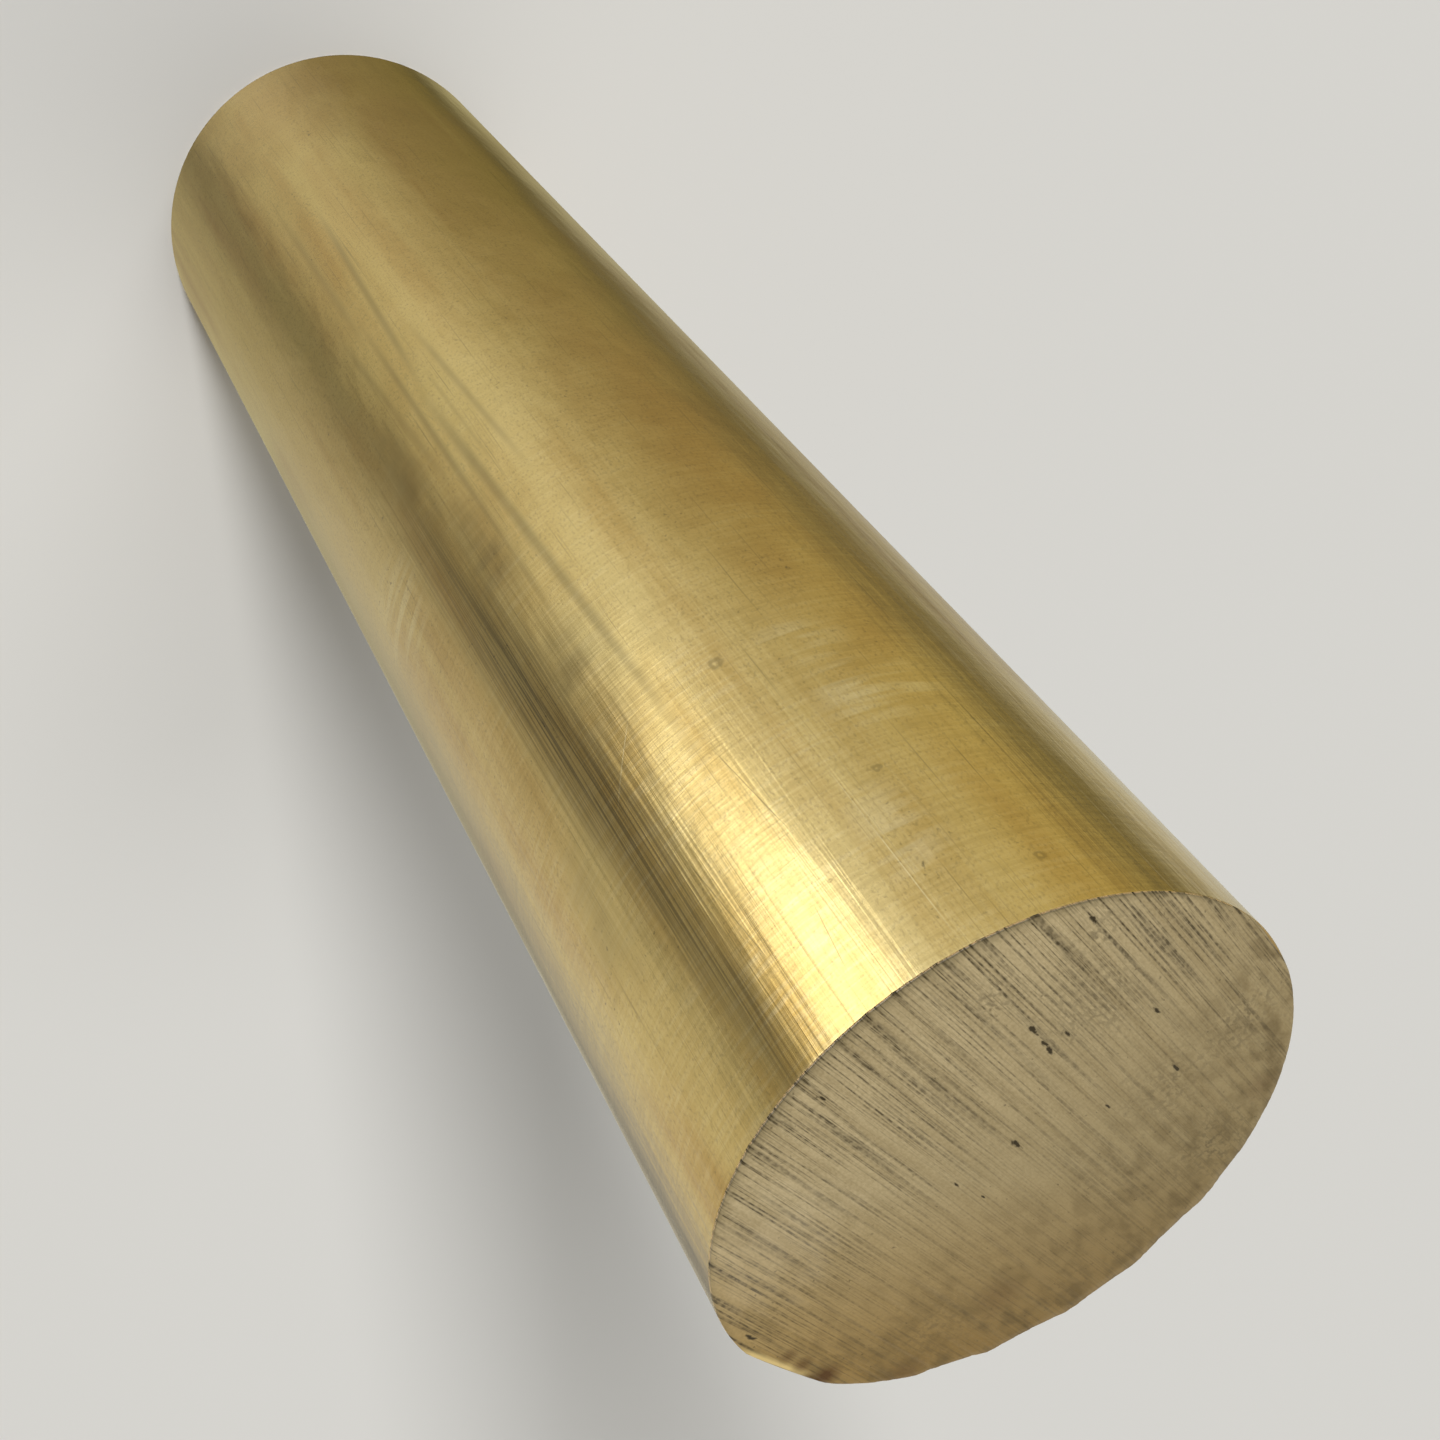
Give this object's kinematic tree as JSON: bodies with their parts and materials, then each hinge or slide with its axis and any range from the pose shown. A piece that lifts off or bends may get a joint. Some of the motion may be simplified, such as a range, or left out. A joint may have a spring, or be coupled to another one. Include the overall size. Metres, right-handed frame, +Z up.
{
  "type": "round brass bar",
  "caption": "Short length of solid drawn round brass bar with square saw-cut ends, standing on end: stock for turning, milling or cutting into smaller pieces.",
  "frame": {"origin": "middle of the plain end, on the level that the bar stands on", "axes": "+Z up along the bar towards the saw cut with the two small rim flats, +X towards the flat where the saw came out, within 13 degrees"},
  "size_m": [0.04, 0.04, 0.1524],
  "materials": {
    "drawn_brass": "satin drawn surface, lightly tarnished and scratched, with matt saw-cut ends"
  },
  "bodies": {
    "root": {"brass_bar": "drawn_brass"}
  },
  "joints": []
}
